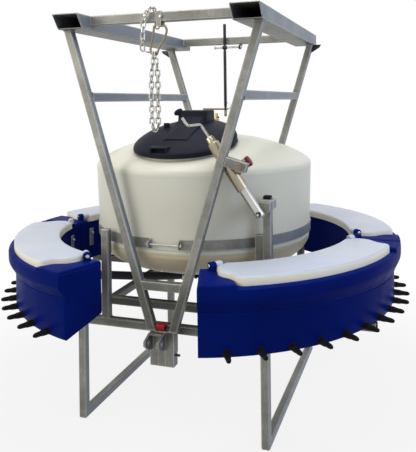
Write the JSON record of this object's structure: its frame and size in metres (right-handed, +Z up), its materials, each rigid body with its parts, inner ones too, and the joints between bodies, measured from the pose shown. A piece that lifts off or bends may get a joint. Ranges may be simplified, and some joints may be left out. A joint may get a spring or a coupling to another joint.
{
  "type": "multi-teat milk feeder",
  "caption": "Mobile calf milk feeder: round tank in a ring of compartment troughs with teats, on skids, with a jacked lifting cradle for pallet tines.",
  "frame": {"origin": "on the ground, on the tank's axis", "axes": "+Z up, -Y front (the side with the hitch ears), +X the side with the levelling jack"},
  "size_m": [2.1762, 2.004, 2.093],
  "materials": {
    "galvanised_steel": "mottled hot-dip galvanised",
    "bright_zinc": "bright zinc plate",
    "navy_plastic": "moulded, soft sheen",
    "white_plastic": "moulded, soft sheen",
    "tank_plastic": "natural milky moulding",
    "black_plastic": "moulded, low sheen",
    "red_plastic": "moulded",
    "red_rubber": "smooth",
    "black_rubber": "smooth",
    "black_steel": "black oxide",
    "brass": "plain"
  },
  "bodies": {
    "base": {"left_skid": "galvanised_steel", "right_skid": "galvanised_steel", "front_rail": "galvanised_steel", "rear_rail": "galvanised_steel", "left_side_rail": "galvanised_steel", "right_side_rail": "galvanised_steel", "front_bearer": "galvanised_steel", "rear_bearer": "galvanised_steel", "front_left_post": "galvanised_steel", "rear_left_post": "galvanised_steel", "rear_right_post": "galvanised_steel", "jack_post": "galvanised_steel", "jack_post_collar": "galvanised_steel", "band_left": "galvanised_steel", "band_right": "galvanised_steel", "band_tensioner": "bright_zinc", "front_pivot_pin": "bright_zinc", "rear_pivot_pin": "bright_zinc", "front_left_trough": "navy_plastic", "front_right_trough": "navy_plastic", "rear_left_trough": "navy_plastic", "rear_right_trough": "navy_plastic", "tank_shell": "tank_plastic", "outlet_valve": "black_plastic", "front_left_hose": "black_rubber", "front_right_hose": "black_rubber", "rear_left_hose": "black_rubber", "rear_right_hose": "black_rubber", "tank_fitting": "brass"},
    "cradle": {"left_tine_pocket": "galvanised_steel", "right_tine_pocket": "galvanised_steel", "front_crossbar": "galvanised_steel", "rear_crossbar": "galvanised_steel", "front_left_leg": "galvanised_steel", "front_right_leg": "galvanised_steel", "rear_left_leg": "galvanised_steel", "rear_right_leg": "galvanised_steel", "front_tie": "galvanised_steel", "rear_tie": "galvanised_steel", "front_pivot_block": "galvanised_steel", "rear_pivot_block": "galvanised_steel", "left_side_brace": "galvanised_steel", "right_side_brace": "galvanised_steel", "jack_bracket": "galvanised_steel", "red_buffer": "red_rubber", "lever_bracket": "black_steel", "snap_hook": "bright_zinc", "chain_lashing": "bright_zinc"},
    "jack": {"jack_outer_tube": "bright_zinc"},
    "ram": {"jack_ram": "bright_zinc"},
    "crank": {"crank_handle": "bright_zinc", "crank_knob": "black_plastic"},
    "chain": {"chain_loop": "bright_zinc"},
    "lever": {"release_lever": "black_steel"},
    "hatch": {"hatch_lid": "black_plastic"},
    "valve": {"valve_handle": "red_plastic"},
    "lid_front_right": {"front_right_lid": "white_plastic"},
    "lid_front_left": {"front_left_lid": "white_plastic"},
    "lid_rear_right": {"rear_right_lid": "white_plastic"},
    "lid_rear_left": {"rear_left_lid": "white_plastic"}
  },
  "joints": [
    {"name": "cradle_roll", "type": "hinge", "parent": "base", "child": "cradle", "pos_m": [0, 0, 0.44], "axis": [0, 1, 0], "range_deg": [-4, 4]},
    {"name": "jack_swing", "type": "hinge", "parent": "cradle", "child": "jack", "pos_m": [0.38308, -0.55, 1.29116], "axis": [0, 1, 0], "range_deg": [-5, 5]},
    {"name": "jack_extend", "type": "slide", "parent": "jack", "child": "ram", "axis": [0.5664, 0, -0.8241], "range_m": [-0.046, 0.046]},
    {"name": "crank_turn", "type": "hinge", "parent": "jack", "child": "crank", "pos_m": [0.21824, -0.55, 1.41448], "axis": [-0.5664, 0, 0.8241], "continuous": true},
    {"name": "chain_swing", "type": "hinge", "parent": "cradle", "child": "chain", "pos_m": [-0.038, -0.585, 1.808], "axis": [-1, 0, 0], "range_deg": [-8, 26]},
    {"name": "lever_swing", "type": "hinge", "parent": "cradle", "child": "lever", "pos_m": [-0.069, 0.638, 1.937], "axis": [1, 0, 0], "range_deg": [-8, 45]},
    {"name": "hatch_open", "type": "hinge", "parent": "base", "child": "hatch", "pos_m": [0, 0.00755, 1.43663], "axis": [-1, 0, 0], "range_deg": [0, 95]},
    {"name": "valve_turn", "type": "hinge", "parent": "base", "child": "valve", "pos_m": [0, 0, 0.547], "axis": [0, 0, 1], "range_deg": [0, 90]},
    {"name": "front_right_lid_open", "type": "hinge", "parent": "base", "child": "lid_front_right", "pos_m": [0.30223, -0.77517, 0.882], "axis": [-0.5932, -0.8051, 0], "range_deg": [0, 68]},
    {"name": "front_left_lid_open", "type": "hinge", "parent": "base", "child": "lid_front_left", "pos_m": [-0.30223, -0.77517, 0.882], "axis": [-0.5932, 0.8051, 0], "range_deg": [0, 95]},
    {"name": "rear_right_lid_open", "type": "hinge", "parent": "base", "child": "lid_rear_right", "pos_m": [0.30223, 0.77517, 0.882], "axis": [0.5932, -0.8051, 0], "range_deg": [0, 95]},
    {"name": "rear_left_lid_open", "type": "hinge", "parent": "base", "child": "lid_rear_left", "pos_m": [-0.30223, 0.77517, 0.882], "axis": [0.5932, 0.8051, 0], "range_deg": [0, 95]}
  ],
  "couplings": [
    {"joint": "jack_swing", "follows": "cradle_roll", "ratio": 1.216},
    {"joint": "jack_extend", "follows": "cradle_roll", "m_per_rad": -0.6483}
  ]
}
